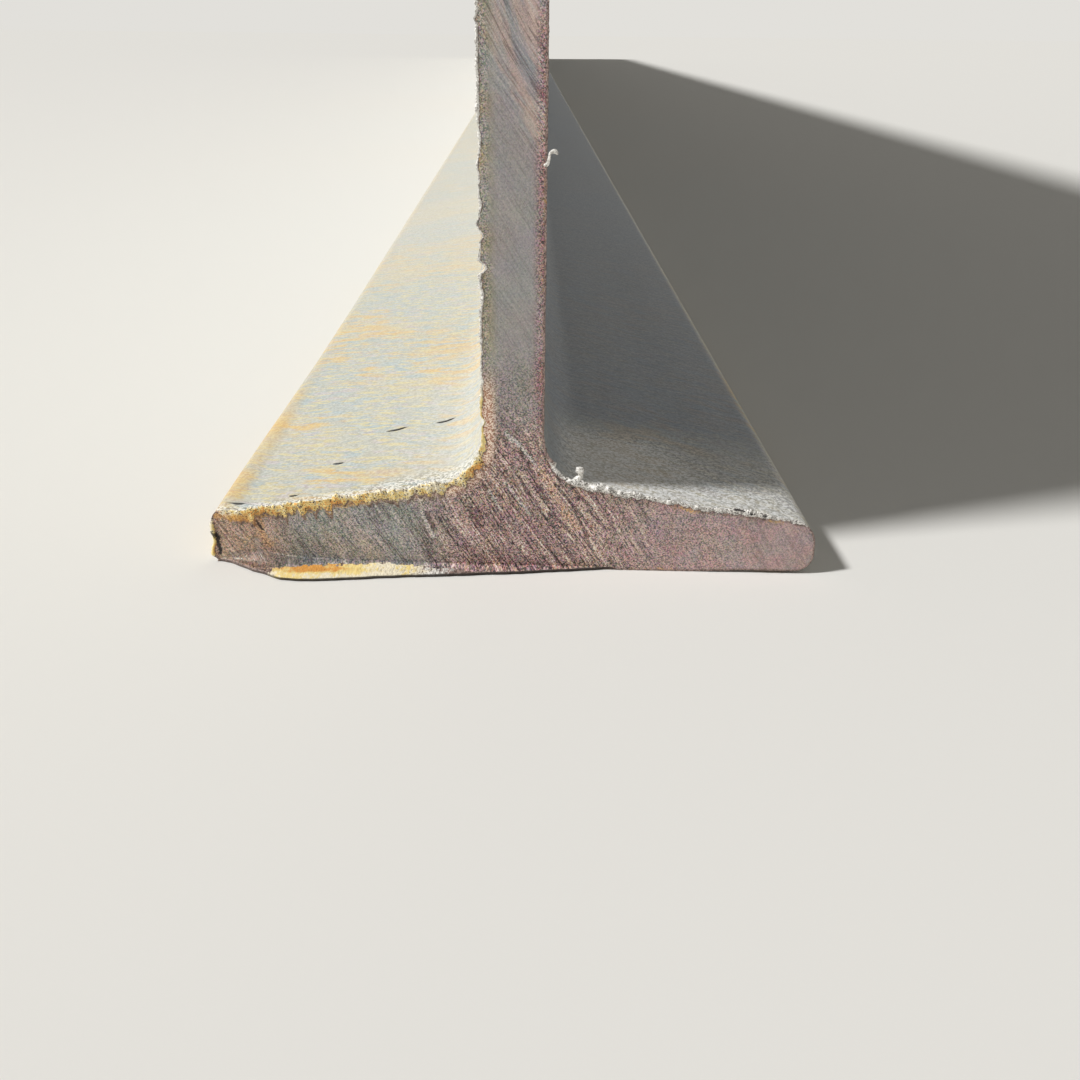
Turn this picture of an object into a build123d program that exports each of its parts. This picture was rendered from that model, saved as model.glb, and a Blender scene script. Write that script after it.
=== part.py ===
from build123d import *
import os

# Hot-rolled steel I-beam with tapered flanges: one bar of constant section, sawn to length.
# X runs across the flanges, Y along the bar and Z up the web.
# The origin is in the middle of the bottom flange's underside, halfway along the bar.

# Rolled section
beam_depth = 500
flange_width = 162
web_thickness = 16
flange_thickness = 20  # halfway between the web's face and the flange's tip
flange_slope = 1 / 6  # fall of a flange's inner face towards its tip
root_radius = 14  # inner corner between web and flange
toe_radius = 7  # inner corner of a flange tip
edge_radius = 5  # outer corner of a flange tip

# Bar as sawn
stock_length = 6000  # along its longest line
near_end_skew = 2.3  # degrees out of square, seen from above

half_width = flange_width / 2
half_web = web_thickness / 2
taper = flange_slope * (half_width - half_web) / 2
tip_thickness = flange_thickness - taper
root_thickness = flange_thickness + taper

right_side = [
    (half_width, 0),
    (half_width, tip_thickness),
    (half_web, root_thickness),
    (half_web, beam_depth - root_thickness),
    (half_width, beam_depth - tip_thickness),
    (half_width, beam_depth),
]
left_side = [(-x, z) for x, z in reversed(right_side)]
side_radii = [edge_radius, toe_radius, root_radius, root_radius, toe_radius, edge_radius]

far_end = Plane.XZ.offset(-stock_length / 2)
near_corner = Plane(origin=(half_width, -stock_length / 2, 0), x_dir=(1, 0, 0), z_dir=(0, -1, 0))
near_end = near_corner.rotated((0, 0, -near_end_skew))

with BuildPart() as i_beam:
    with BuildSketch(far_end):
        with BuildLine():
            FilletPolyline(*right_side, *left_side, radius=2 * side_radii, close=True)
        make_face()
    extrude(amount=stock_length)
    split(bisect_by=near_end, keep=Keep.BOTTOM)

i_beam.part.label = "i_beam"
os.makedirs("parts", exist_ok=True)
export_step(i_beam.part, "parts/i_beam.step")
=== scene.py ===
import math

import bpy
import numpy as np
from mathutils import Matrix, Vector


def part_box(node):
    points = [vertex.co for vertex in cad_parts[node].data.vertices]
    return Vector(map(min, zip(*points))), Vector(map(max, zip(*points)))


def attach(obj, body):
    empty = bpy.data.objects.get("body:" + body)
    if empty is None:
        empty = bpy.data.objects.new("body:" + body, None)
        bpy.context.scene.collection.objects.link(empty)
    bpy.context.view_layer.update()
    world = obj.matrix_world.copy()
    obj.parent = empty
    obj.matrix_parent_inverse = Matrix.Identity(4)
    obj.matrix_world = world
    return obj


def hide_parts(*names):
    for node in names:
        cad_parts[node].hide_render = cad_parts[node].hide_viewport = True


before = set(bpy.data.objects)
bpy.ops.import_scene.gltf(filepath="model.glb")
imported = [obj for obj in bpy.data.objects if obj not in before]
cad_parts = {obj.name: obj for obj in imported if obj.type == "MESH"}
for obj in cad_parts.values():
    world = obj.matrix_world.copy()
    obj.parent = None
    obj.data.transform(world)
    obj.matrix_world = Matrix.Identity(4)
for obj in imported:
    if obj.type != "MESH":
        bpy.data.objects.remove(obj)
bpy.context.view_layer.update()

boxLow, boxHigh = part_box("i_beam")
nearCorner = boxLow.y  # the near cut's right corner, its foremost point
farFace = boxHigh.y
depth = boxHigh.z - boxLow.z
halfWidth = (boxHigh.x - boxLow.x) / 2
mm = 0.001  # tables of points are in millimetres, all other lengths in metres
scene = bpy.context.scene
print("frame loaded, bar", round(farFace - nearCorner, 3), "m long")


# Helpers for arrays and meshes

def smooth(low, high, value):
    # 0 below low, 1 above high, an S curve between
    t = np.clip((value - low) / (high - low), 0, 1)
    return t * t * (3 - 2 * t)


def hump(value, centre, halfSpan):
    # 1 at the centre, 0 past half a span on either side, cosine between
    t = np.clip(np.abs(value - centre) / halfSpan, 0, 1)
    return 0.5 + 0.5 * np.cos(math.pi * t)


def spot(x, z, centreX, centreZ, reach):
    # a hump round one point of the cut
    return hump(np.hypot(x - centreX, z - centreZ), 0, reach)


def bell(way, span):
    # 1 at zero, falling as a bell curve on both sides
    return np.exp(-(way / span) ** 2)


def wander(value, period, seed):
    # random heights from -1 to 1 at each whole period, joined by S curves
    table = np.random.default_rng(seed).uniform(-1, 1, 4096)
    cell = np.floor(value / period).astype(int)
    t = smooth(0, 1, value / period - cell)
    return table[cell % len(table)] * (1 - t) + table[(cell + 1) % len(table)] * t


def rough(value, period, seed, octaves=3):
    # wander at a period, plus half as much at half the period, and so on, brought back to about 1
    return sum(wander(value, period / 2 ** k, seed + k) / 2 ** k for k in range(octaves)) / 1.6


def field(u, v, period, seed):
    # random heights from -1 to 1 on a square lattice, joined by S curves both ways
    table = np.random.default_rng(seed).uniform(-1, 1, (512, 512))
    size = len(table)
    cellU, cellV = np.floor(u / period).astype(int), np.floor(v / period).astype(int)
    s, t = smooth(0, 1, u / period - cellU), smooth(0, 1, v / period - cellV)
    low, high = (
        table[cellU % size, (cellV + k) % size] * (1 - s) + table[(cellU + 1) % size, (cellV + k) % size] * s
        for k in (0, 1)
    )
    return low * (1 - t) + high * t


def lengthAlong(points):
    # distance of each point from the first, along the line of them all
    return np.concatenate([[0], np.cumsum(np.linalg.norm(np.diff(points, axis=0), axis=1))])


def gridQuads(rows, columns, closedRows=False, closedColumns=False):
    # quads over a grid of points numbered row by row, wrapped round where it is closed
    index = np.arange(rows * columns).reshape(rows, columns)
    if closedRows:
        index = np.vstack([index, index[:1]])
    if closedColumns:
        index = np.hstack([index, index[:, :1]])
    return np.stack([index[:-1, :-1], index[:-1, 1:], index[1:, 1:], index[1:, :-1]], -1).reshape(-1, 4)


def ladder(first, count):
    # quads that close a ring of an even number of points, rung by rung from its first edge to its last
    rung = np.arange(count // 2 - 1)
    return first + np.stack([rung, rung + 1, count - 2 - rung, count - 1 - rung], 1)


def closeTube(rows, columns, flip=False):
    # a grid of rings joined to a tube, with a ladder over its first ring and its last
    ends = [ladder(0, columns)[:, ::-1], ladder((rows - 1) * columns, columns)]
    quads = np.concatenate([gridQuads(rows, columns, False, True), *ends])
    return quads[:, ::-1] if flip else quads


def makeMesh(name, points, quads, materials, faceSlots=None, values=None):
    mesh = bpy.data.meshes.new(name)
    mesh.vertices.add(len(points))
    mesh.vertices.foreach_set("co", np.asarray(points, np.float32).ravel())
    mesh.loops.add(quads.size)
    mesh.loops.foreach_set("vertex_index", quads.astype(np.int32).ravel())
    mesh.polygons.add(len(quads))
    mesh.polygons.foreach_set("loop_start", np.arange(0, quads.size, 4, dtype=np.int32))
    for material in materials:
        mesh.materials.append(material)
    if faceSlots is not None:
        mesh.polygons.foreach_set("material_index", faceSlots.astype(np.int32))
    mesh.polygons.foreach_set("use_smooth", np.full(len(quads), True))
    for label, array in (values or {}).items():
        layer = mesh.attributes.new(label, "FLOAT", "POINT")
        layer.data.foreach_set("value", np.asarray(array, np.float32).ravel())
    mesh.update(calc_edges=True)
    mesh.validate()
    piece = bpy.data.objects.new(name, mesh)
    scene.collection.objects.link(piece)
    return piece


def addPiece(piece):
    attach(piece, "root")
    print(piece.name, len(piece.data.polygons) * 2, "triangles")


# The rolled section, as in the drawing of the bar

section = {
    "web": 0.016,
    "flange": 0.020,  # halfway between web and tip
    "slope": 1 / 6,
    "rootRadius": 0.014,
    "toeRadius": 0.007,
    "edgeRadius": 0.005,
    "webCells": 10,
    "rootCells": 15,
    "slopeCells": 96,
    "toeCells": 10,
    "thicknessCells": 28,
    "fineHeight": 0.145,  # the web is meshed finely up to here
    "fineStep": 0.0007,
    "coarseStep": 0.0022,
    "cutSkew": 2.3,  # degrees
}
halfWeb = section["web"] / 2
slopeAngle = math.atan(section["slope"])
gauge = (halfWidth + halfWeb) / 2
rootX = halfWeb + section["rootRadius"]
skewSlope = math.tan(math.radians(section["cutSkew"]))


def innerLine(x):
    # mean flange thickness at the gauge line, plus the slope times the way back to it
    return section["flange"] + section["slope"] * (gauge - x)


rootZ = innerLine(rootX) + section["rootRadius"] / math.cos(slopeAngle)


def halfFlange():
    # columns from the web's middle to a flange tip: straight over the web, the root arc by angle,
    # the sloping line by length, then the toe arc by angle; low is the outer face with its edge arc
    s = section
    turn = np.linspace(math.pi, 1.5 * math.pi - slopeAngle, s["rootCells"] + 1)
    arcX = rootX + s["rootRadius"] * np.cos(turn)
    arcZ = rootZ + s["rootRadius"] * np.sin(turn)
    toeX = halfWidth - s["toeRadius"]
    toeZ = innerLine(toeX) - s["toeRadius"] / math.cos(slopeAngle)
    turn = np.linspace(math.pi / 2 - slopeAngle, 0, s["toeCells"] + 1)
    tipX = toeX + s["toeRadius"] * np.cos(turn)
    tipZ = toeZ + s["toeRadius"] * np.sin(turn)
    slopeX = np.linspace(arcX[-1], tipX[0], s["slopeCells"] + 1)[1:-1]
    webX = np.linspace(0, halfWeb, s["webCells"] + 1)[:-1]
    x = np.concatenate([webX, arcX, slopeX, tipX])
    high = np.concatenate([np.full(len(webX), rootZ), arcZ, innerLine(slopeX), tipZ])
    over = np.clip(x - (halfWidth - s["edgeRadius"]), 0, s["edgeRadius"])
    low = s["edgeRadius"] - np.sqrt(s["edgeRadius"] ** 2 - over ** 2)
    return x, low, high


def sectionGrid():
    # two flange grids, columns by thickness, joined by a web grid, columns by height
    s = section
    x, low, high = halfFlange()
    x = np.concatenate([-x[::-1], x[1:]])
    low = np.concatenate([low[::-1], low[1:]])
    high = np.concatenate([high[::-1], high[1:]])
    columns, rows = len(x), s["thicknessCells"]
    share = np.linspace(0, 1, rows + 1)
    flangeX = np.repeat(x[:, None], rows + 1, 1)
    flangeZ = low[:, None] + share * (high - low)[:, None]
    middle = columns // 2
    left, right = middle - s["webCells"], middle + s["webCells"]
    fine = np.arange(rootZ, s["fineHeight"], s["fineStep"])
    count = int((depth - rootZ - fine[-1]) / s["coarseStep"])
    webZ = np.concatenate([fine, np.linspace(fine[-1], depth - rootZ, count)[1:]])[1:-1]
    webX = x[left:right + 1]

    bottom = np.arange(columns * (rows + 1)).reshape(columns, rows + 1)
    web = bottom.size + np.arange(len(webZ) * len(webX)).reshape(len(webZ), len(webX))
    top = bottom.size + web.size + bottom
    web = np.vstack([bottom[left:right + 1, -1], web, top[left:right + 1, 0]])

    gridX = np.concatenate([flangeX.ravel(), np.tile(webX, len(webZ)), flangeX.ravel()])
    gridZ = np.concatenate([flangeZ.ravel(), np.repeat(webZ, len(webX)), (depth - flangeZ[:, ::-1]).ravel()])
    quads = np.concatenate([
        np.stack([g[:-1, :-1], g[1:, :-1], g[1:, 1:], g[:-1, 1:]], -1).reshape(-1, 4)
        for g in (bottom, web.T, top)
    ])
    loop = np.concatenate([
        bottom[:, 0], bottom[-1, 1:], bottom[right:-1, -1][::-1],
        web[1:-1, -1], top[right:, 0], top[-1, 1:], top[:-1, -1][::-1],
        top[0, :-1][::-1], top[1:left + 1, 0], web[1:-1, 0][::-1],
        bottom[:left + 1, -1][::-1], bottom[0, 1:-1][::-1],
    ])
    return gridX, gridZ, quads, loop


def rimDistance(x, z):
    # distance to the nearest of outer face, inner face, tip and root arc, and to the inner side alone
    up = np.minimum(z, depth - z)
    side = np.abs(x)
    fromRoot = np.hypot(side - rootX, up - rootZ) - section["rootRadius"]
    fromInner = (innerLine(side) - up) * math.cos(slopeAngle)
    inner = np.where(side < rootX, fromRoot, fromInner)
    inner = np.where(up >= rootZ, halfWeb - side, inner)
    outer = np.where(up >= rootZ, 1.0, np.minimum(up, halfWidth - side))
    return np.maximum(np.minimum(inner, outer), 0), np.maximum(inner, 0)


def nearCut(x):
    # the plane of the near saw cut, turned by the skew about the upright through its right corner
    return nearCorner + (halfWidth - x) * skewSlope


def outlineNormals(points):
    # the tangent from the point before to the point after, turned a quarter turn outwards
    tangent = np.roll(points, -1, 0) - np.roll(points, 1, 0)
    tangent /= np.linalg.norm(tangent, axis=1)[:, None]
    return np.stack([tangent[:, 1], -tangent[:, 0]], 1)


# The bar's skin: the section carried along the bar, closed by a sawn face at each end

skin = {
    # rings of points: distances behind the near cut, and before the far one
    "nearStations": [
        0.0003, 0.0008, 0.0015, 0.0025, 0.004, 0.0065, 0.01, 0.015, 0.023, 0.035, 0.055, 0.09, 0.15, 0.25,
        0.42, 0.7, 1.1, 1.7,
    ],
    "farStations": [0.0005, 0.0015, 0.004, 0.012, 0.04, 0.15, 0.5],
    "middleStations": 3,
    "edgeRoughness": 0.00014,
    "edgePeriod": 0.0022,
    "edgeFade": 0.0025,
    "toeWander": 0.0004,
    "toeWidth": 0.02,
    "wanderPeriod": 0.7,
    # the near cut's left tip is fuller than the rolled radii: x, z and reach at its toe and at its edge
    "leftToe": (-0.0789, 0.0130, 0.0062),
    "leftToeFill": 0.0022,
    "leftToeFade": 0.12,
    "leftEdge": (-0.0795, 0.0015, 0.0056),
    "leftEdgeFill": 0.0026,
    "leftEdgeFade": 0.009,
    "fillShares": (-0.7, 0.7, -0.2),  # sideways for both, up for the toe, down for the edge
    "rightLift": 0.0008,  # the right flange's tip bends up by this at the near cut
    "liftSpan": (0.044, 0.066),
    "liftBelow": 0.1,
    "liftFade": 0.6,
    "sawTilt": 34,  # degrees
    "sawBend": 0.002,
    "bendPeriod": 0.02,
    "sawRidge": 0.00009,
    "ridgePeriod": 0.0016,
    "ridgeStretch": 0.08,  # the smaller, the longer along the lines
    "ridgeShare": 0.35,  # of the ridges' height, away from the root
    "ridgeCentre": (0.006, 0.02),
    "ridgeReach": 0.03,
    "sawSwell": 0.00012,
    "swellPeriod": 0.007,
    "swellStretch": 0.3,
    "plainRim": 0.002,
    "farRelief": 0.6,
    # height on the web's left edge, half span, depth inwards, in mm
    "notches": [
        (135.0, 1.2, -0.6), (110.0, 4.0, 0.5), (104.4, 3.0, -0.3), (95.5, 2.2, 0.4), (91.2, 1.8, -0.7),
        (88.3, 1.8, 0.8), (80.8, 2.0, 1.6), (73.5, 4.5, 0.7), (44.9, 3.0, -0.3), (41.7, 1.6, 0.7),
        (60.0, 1.0, 0.3), (52.5, 1.2, 0.3),
    ],
    "notchFoot": (0.034, 0.040),
    "notchStart": (0.003, 0.0005),  # outside the web's face
    "notchAcross": 0.004,
    "notchFade": 0.003,
    # pits near the right upper edge: x, z, radius, depth, in mm
    "pits": [
        (59.2, 17.2, 0.8, 0.6), (61.2, 17.1, 0.7, 0.6), (63.4, 16.0, 0.7, 0.8), (66.8, 15.5, 0.8, 0.9),
        (-74.5, 12.5, 0.6, 0.5),
    ],
    "blackDepth": 0.0008,
}


def notchShift(x, z):
    # each notch pushes the web's left side in by a cosine hump, fading across the web
    shift = sum(deep * hump(z, height, span) for height, span, deep in np.array(skin["notches"]) * mm)
    outside, inside = skin["notchStart"]
    inWeb = smooth(-halfWeb - outside, -halfWeb - inside, x) * smooth(*skin["notchFoot"], z)
    return shift * inWeb * np.exp(-np.maximum(x + halfWeb, 0) / skin["notchAcross"])


def tipFill(x, z, way=0.0):
    # outward shift, strongest at the middle of the left toe arc and of the left edge arc, none at their
    # ends, and the right tip's lift, an S curve across it; all fade along the bar as bell curves
    s = skin
    upper = s["leftToeFill"] * spot(x, z, *s["leftToe"]) * bell(way, s["leftToeFade"])
    lower = s["leftEdgeFill"] * spot(x, z, *s["leftEdge"]) * bell(way, s["leftEdgeFade"])
    lift = s["rightLift"] * smooth(*s["liftSpan"], x) * (z < s["liftBelow"]) * bell(way, s["liftFade"])
    sideways, up, down = s["fillShares"]
    return sideways * (upper + lower), up * upper + down * lower + lift


def buildSkin(materials):
    s = skin
    x, z, quads, loop = sectionGrid()
    outline = np.stack([x[loop], z[loop]], 1)
    normals = outlineNormals(outline)
    rim, inner = rimDistance(x, z)

    near = np.array([0, *s["nearStations"]])
    far = np.array([0, *s["farStations"]])[::-1]
    length = farFace - nearCorner
    middle = np.linspace(near[-1], length - far[0], s["middleStations"] + 2)[1:-1]
    way = np.concatenate([near, middle, length - far])  # from the near cut, along the bar
    fromCut = np.minimum(way, length - way)

    ragged = rough(lengthAlong(outline), s["edgePeriod"], 11)[None]
    ragged = ragged * np.exp(-fromCut / s["edgeFade"])[:, None]
    atTip = smooth(halfWidth - s["toeWidth"], halfWidth, np.abs(outline[:, 0]))[None]
    rolledWave = s["toeWander"] * rough(way, s["wanderPeriod"], 23)[:, None] * atTip
    fillX, fillZ = tipFill(outline[None, :, 0], outline[None, :, 1], way[:, None])
    push = s["edgeRoughness"] * ragged + rolledWave * np.abs(normals[:, 0])
    push = np.where(normals[:, 1] < -0.5, np.minimum(push, 0), push)  # nothing reaches below the underside
    rings = outline[None] + push[:, :, None] * normals[None]
    rings[:, :, 0] += notchShift(*outline.T)[None] * np.exp(-way / s["notchFade"])[:, None] + fillX
    rings[:, :, 1] = np.clip(rings[:, :, 1] + fillZ, 0, depth)

    start = nearCut(rings[:, :, 0])
    y = start + (farFace - start) * (way / length)[:, None]
    y[:len(near)] = start[:len(near)] + near[:, None]
    y[-len(far):] = farFace - far[:, None]

    # saw ridges along lines that fall to the right, bent by a slow swell, strongest at the root
    tilt = math.radians(s["sawTilt"])
    across = x * math.cos(tilt) + z * math.sin(tilt) + s["sawBend"] * field(x, z, s["bendPeriod"], 5)
    along = -x * math.sin(tilt) + z * math.cos(tilt)
    centreX, centreZ = s["ridgeCentre"]
    atRoot = np.exp(-((x - centreX) / s["ridgeReach"]) ** 2 - ((z - centreZ) / s["ridgeReach"]) ** 2)
    atRoot = s["ridgeShare"] + (1 - s["ridgeShare"]) * atRoot
    relief = s["sawRidge"] * atRoot * field(across, along * s["ridgeStretch"], s["ridgePeriod"], 41)
    relief += s["sawSwell"] * field(across, along * s["swellStretch"], s["swellPeriod"], 43)
    relief *= smooth(0, s["plainRim"], rim)
    pitted = sum(deep * spot(x, z, *where) for *where, deep in np.array(s["pits"]) * mm)
    fillX, fillZ = tipFill(x, z)
    capX = x + notchShift(x, z) + fillX
    capZ = np.maximum(z + fillZ, 0)
    capNear = np.stack([capX, nearCut(capX) + relief + pitted, capZ], 1)
    capFar = np.stack([x, farFace - np.abs(relief) * s["farRelief"], z], 1)
    capNear[loop] = np.stack([rings[0, :, 0], y[0], rings[0, :, 1]], 1)
    capFar[loop] = np.stack([rings[-1, :, 0], y[-1], rings[-1, :, 1]], 1)
    inside = np.stack([rings[1:-1, :, 0], y[1:-1], rings[1:-1, :, 1]], -1).reshape(-1, 3)
    points = np.concatenate([capNear, capFar, inside])

    count, stations = len(loop), len(way)
    ring = np.empty((stations, count), int)
    ring[0], ring[-1] = loop, loop + len(x)
    ring[1:-1] = 2 * len(x) + np.arange((stations - 2) * count).reshape(stations - 2, count)
    after = np.roll(ring, -1, 1)
    sides = np.stack([ring[:-1], ring[1:], after[1:], after[:-1]], -1).reshape(-1, 4)
    faces = np.concatenate([quads, quads[:, ::-1] + len(x), sides])
    slots = np.concatenate([np.ones(2 * len(quads)), np.zeros(len(sides))])

    rim[loop] = 0
    innerRing = rimDistance(*outline.T)[1]
    values = {
        "rim": np.concatenate([rim, rim, np.repeat(fromCut[1:-1], count)]),
        "inner": np.concatenate([inner, inner, np.tile(innerRing, stations - 2)]),
        "dark": np.concatenate([pitted / s["blackDepth"], pitted * 0, np.zeros(len(inside))]),
    }
    return makeMesh("rolledBar", points, faces, materials, slots, values)


def finePath(step, coarse):
    # the section's outline again, at one step up to the fine height and a coarser one above
    x, z, _, loop = sectionGrid()
    outline = np.stack([x[loop], z[loop]], 1)
    outline = np.vstack([outline, outline[:1]])
    arc = lengthAlong(outline)
    even = np.arange(0, arc[-1], step / 4)
    height = np.interp(even, arc, outline[:, 1])
    spend = np.cumsum(np.where(height < section["fineHeight"], 1 / step, 1 / coarse) * step / 4)
    place = np.interp(np.arange(1, int(spend[-1])), spend, even)
    points = np.stack([np.interp(place, arc, outline[:, 0]), np.interp(place, arc, outline[:, 1])], 1)
    return points, outlineNormals(points), place


# Burrs that the saw left round each cut: a rough edge and a thin ragged fin, carried round the outline

burr = {
    "step": 0.0003,
    "coarseStep": 0.0009,
    "root": 0.0005,  # how far in on the sawn face it starts
    "leftRoot": 0.0033,
    "rightRoot": 0.0007,
    "back": 0.0011,
    # the first row behind the face, as shares of height, lean and depth; the rows after it are hidden
    "behindOut": 0.55,
    "behindLean": 0.3,
    "behindBack": 0.35,
    "hidden": 0.0001,
    "least": 0.00006,
    "webLeft": 0.00042,
    "webRight": 0.00010,
    "leftInner": 0.00095,
    "leftTipStart": (0.0712, 0.0732),
    "leftTipLess": 0.6,
    "rightInner": 0.00055,
    "tipFin": 0.0009,
    "leastFront": 0.00006,
    "leftFront": 0.00022,
    "crustFront": 0.00012,
    "tipFront": 0.00035,
    "lean": 0.0002,
    "spikes": (0.55, 0.75, 0.35, 1.6),  # level, what rough adds, what thorns add, and sharpness
    # how the other parts vary along it: a level and what noise adds, or what it adds alone
    "finVaries": (0.8, 0.3),
    "heapVaries": 0.22,
    "rootVaries": (0.5, 0.45, 0.4),  # everywhere, at the crust, on the left
    "frontVaries": (0.8, 0.7),
    "crumbVaries": (0.3, 1.6),  # at the first and last row, and between
    "ochreVaries": (0.62, 0.30),
    # the thick burr right of the root: x and height over the rolled face, in mm
    "heap": [
        (9.1, 0.0), (9.7, 0.8), (10.4, 1.2), (10.9, 0.3), (13.5, 0.3), (15.0, 0.9), (16.5, 1.4),
        (18.1, 1.7), (19.2, 1.4), (20.3, 1.0), (21.3, 1.2), (22.9, 2.0), (24.2, 1.7), (26.1, 1.0),
        (28.2, 0.9), (30.3, 0.7), (30.8, 1.2), (33.4, 1.0), (35.0, 0.3), (40.0, 0.2), (44.0, 0.0),
        (56.0, 0.0), (58.0, 0.4), (59.2, 0.9), (60.4, 0.3), (62.2, 0.8), (63.4, 0.9), (64.6, 0.4),
        (66.2, 0.8), (67.6, 0.7), (69.0, 0.2), (72.0, 0.0),
    ],
    "forward": 0.4,  # height in front of the face, against the height outwards
    "crumble": 0.00020,
    "farScale": 0.6,
    "floorGap": 0.00002,  # it stays this far above the underside
    # how long its uneven parts are
    "periods": {
        "spike": 0.0030, "thorn": 0.0005, "fin": 0.0020, "heap": 0.0013, "root": 0.003, "crustGap": 0.0012,
        "leftGap": 0.0009, "front": 0.0017, "lean": 0.0012, "crumb": 0.0008, "ochre": 0.006,
    },
    # where its places begin and are whole, or are whole and end
    "low": (0.10, 0.05),
    "webFoot": (0.030, 0.040),
    "innerEdge": (0.0012, 0.0002),
    "heapStart": (0.0085, 0.0125),
    "heapEnd": (0.038, 0.030),
    "heapFloor": 0.010,
    "crustStart": (0.010, 0.014),
    "tipFoot": (0.0015, 0.0030),
    "tipTop": (0.0135, 0.0095),
    "rootRust": (0.036, 0.020),  # height and half span
    "rootRustSide": (-0.004, -0.007),
    "tipRust": 0.6,
    "rootRustLevel": 0.6,
    # cross section: from the sawn face up to the fin, over it, and back along the side; each point
    # has a share of the inward width, of the outward height and of the forward height
    "profile": [
        (-1, 0, -0.15), (-0.8, 0, 0.12), (-0.6, 0, 0.4), (-0.4, 0, 0.7), (-0.2, 0.1, 0.95), (0, 0.35, 1),
        (0, 0.75, 0.8), (0, 1, 0.35),
    ],
    # how rusty, and how much like the sawn face, each row of that looks, and the three rows behind it
    "rowRust": [1.2, 1.3, 1.2, 1.1, 0.95, 0.75, 0.4, 0.1, 0.05, 0.05, 1],
    "rowFace": [1, 0.8, 0.45, 0.1, 0, 0, 0, 0, 0, 0, 0],
}


def burrZones(x, z):
    # shares from 0 to 1 of each place of the outline: web, left inner face, right one, heap, left tip, and
    # all that is low
    b = burr
    inWeb = smooth(*b["webFoot"], z) * smooth(*b["webFoot"], depth - z)
    onInner = smooth(*b["innerEdge"], rimDistance(x, z)[1]) * (1 - inWeb)
    low = smooth(*b["low"], z)
    onTip = smooth(halfWidth - 0.003, halfWidth - 0.0004, -x) * smooth(*b["tipFoot"], z) * low
    heap = smooth(*b["heapStart"], x) * smooth(*b["heapEnd"], x) * onInner * low
    return inWeb, onInner * (x < 0), onInner * (x > 0), heap, onTip * smooth(*b["tipTop"], z), low


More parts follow.
